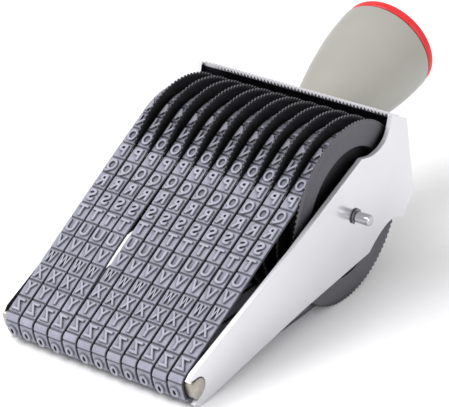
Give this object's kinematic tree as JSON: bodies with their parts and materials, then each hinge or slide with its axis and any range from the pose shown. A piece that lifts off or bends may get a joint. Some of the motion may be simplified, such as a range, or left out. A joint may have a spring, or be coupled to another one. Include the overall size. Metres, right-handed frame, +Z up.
{
  "type": "rotary band stamp",
  "caption": "Hand-held rotary band stamp: rubber character bands on knurled thumbwheels between tapered nickel side plates, nose bar in front, flared handle behind.",
  "frame": {"origin": "centre of the bounding box, on the surface that the stamp lies on", "axes": "+Z up; +Y from the nose towards the handle; +X across the bands, along the axle"},
  "size_m": [0.0716, 0.1386, 0.0577],
  "materials": {
    "nickel_plate": "bright nickel plated sheet steel",
    "bar_steel": "drawn steel bar, lightly oiled",
    "dark_spring_steel": "blackened spring steel",
    "band_rubber": "matt moulded grey rubber with a fine dusty bloom",
    "wheel_plastic": "dark grey moulded plastic with a knurled rim",
    "handle_plastic": "warm grey moulded plastic, satin",
    "cap_plastic": "red moulded plastic"
  },
  "bodies": {
    "frame": {"side_plate_left": "nickel_plate", "side_plate_right": "nickel_plate", "bridge_plate": "nickel_plate", "comb_strip": "bar_steel", "axle": "nickel_plate", "axle_clip_left": "dark_spring_steel", "axle_clip_right": "dark_spring_steel", "axle_spacer_left": "nickel_plate", "axle_spacer_right": "nickel_plate", "nose_bar": "bar_steel", "handle": "handle_plastic", "handle_cap": "cap_plastic", "handle_washer": "nickel_plate", "handle_screw": "nickel_plate", "character_band_01": "band_rubber", "character_band_02": "band_rubber", "character_band_03": "band_rubber", "character_band_04": "band_rubber", "character_band_05": "band_rubber", "character_band_06": "band_rubber", "character_band_07": "band_rubber", "character_band_08": "band_rubber", "character_band_09": "band_rubber", "character_band_10": "band_rubber", "character_band_11": "band_rubber", "character_band_12": "band_rubber"},
    "wheel_01": {"thumbwheel_01": "wheel_plastic"},
    "wheel_02": {"thumbwheel_02": "wheel_plastic"},
    "wheel_03": {"thumbwheel_03": "wheel_plastic"},
    "wheel_04": {"thumbwheel_04": "wheel_plastic"},
    "wheel_05": {"thumbwheel_05": "wheel_plastic"},
    "wheel_06": {"thumbwheel_06": "wheel_plastic"},
    "wheel_07": {"thumbwheel_07": "wheel_plastic"},
    "wheel_08": {"thumbwheel_08": "wheel_plastic"},
    "wheel_09": {"thumbwheel_09": "wheel_plastic"},
    "wheel_10": {"thumbwheel_10": "wheel_plastic"},
    "wheel_11": {"thumbwheel_11": "wheel_plastic"},
    "wheel_12": {"thumbwheel_12": "wheel_plastic"}
  },
  "joints": [
    {"name": "wheel_01_spin", "type": "hinge", "parent": "frame", "child": "wheel_01", "pos_m": [-0.0264, 0.00063, 0.025], "axis": [1, 0, 0], "continuous": true},
    {"name": "wheel_02_spin", "type": "hinge", "parent": "frame", "child": "wheel_02", "pos_m": [-0.0216, 0.00063, 0.025], "axis": [1, 0, 0], "continuous": true},
    {"name": "wheel_03_spin", "type": "hinge", "parent": "frame", "child": "wheel_03", "pos_m": [-0.0168, 0.00063, 0.025], "axis": [1, 0, 0], "continuous": true},
    {"name": "wheel_04_spin", "type": "hinge", "parent": "frame", "child": "wheel_04", "pos_m": [-0.012, 0.00063, 0.025], "axis": [1, 0, 0], "continuous": true},
    {"name": "wheel_05_spin", "type": "hinge", "parent": "frame", "child": "wheel_05", "pos_m": [-0.0072, 0.00063, 0.025], "axis": [1, 0, 0], "continuous": true},
    {"name": "wheel_06_spin", "type": "hinge", "parent": "frame", "child": "wheel_06", "pos_m": [-0.0024, 0.00063, 0.025], "axis": [1, 0, 0], "continuous": true},
    {"name": "wheel_07_spin", "type": "hinge", "parent": "frame", "child": "wheel_07", "pos_m": [0.0024, 0.00063, 0.025], "axis": [1, 0, 0], "continuous": true},
    {"name": "wheel_08_spin", "type": "hinge", "parent": "frame", "child": "wheel_08", "pos_m": [0.0072, 0.00063, 0.025], "axis": [1, 0, 0], "continuous": true},
    {"name": "wheel_09_spin", "type": "hinge", "parent": "frame", "child": "wheel_09", "pos_m": [0.012, 0.00063, 0.025], "axis": [1, 0, 0], "continuous": true},
    {"name": "wheel_10_spin", "type": "hinge", "parent": "frame", "child": "wheel_10", "pos_m": [0.0168, 0.00063, 0.025], "axis": [1, 0, 0], "continuous": true},
    {"name": "wheel_11_spin", "type": "hinge", "parent": "frame", "child": "wheel_11", "pos_m": [0.0216, 0.00063, 0.025], "axis": [1, 0, 0], "continuous": true},
    {"name": "wheel_12_spin", "type": "hinge", "parent": "frame", "child": "wheel_12", "pos_m": [0.0264, 0.00063, 0.025], "axis": [1, 0, 0], "continuous": true}
  ]
}
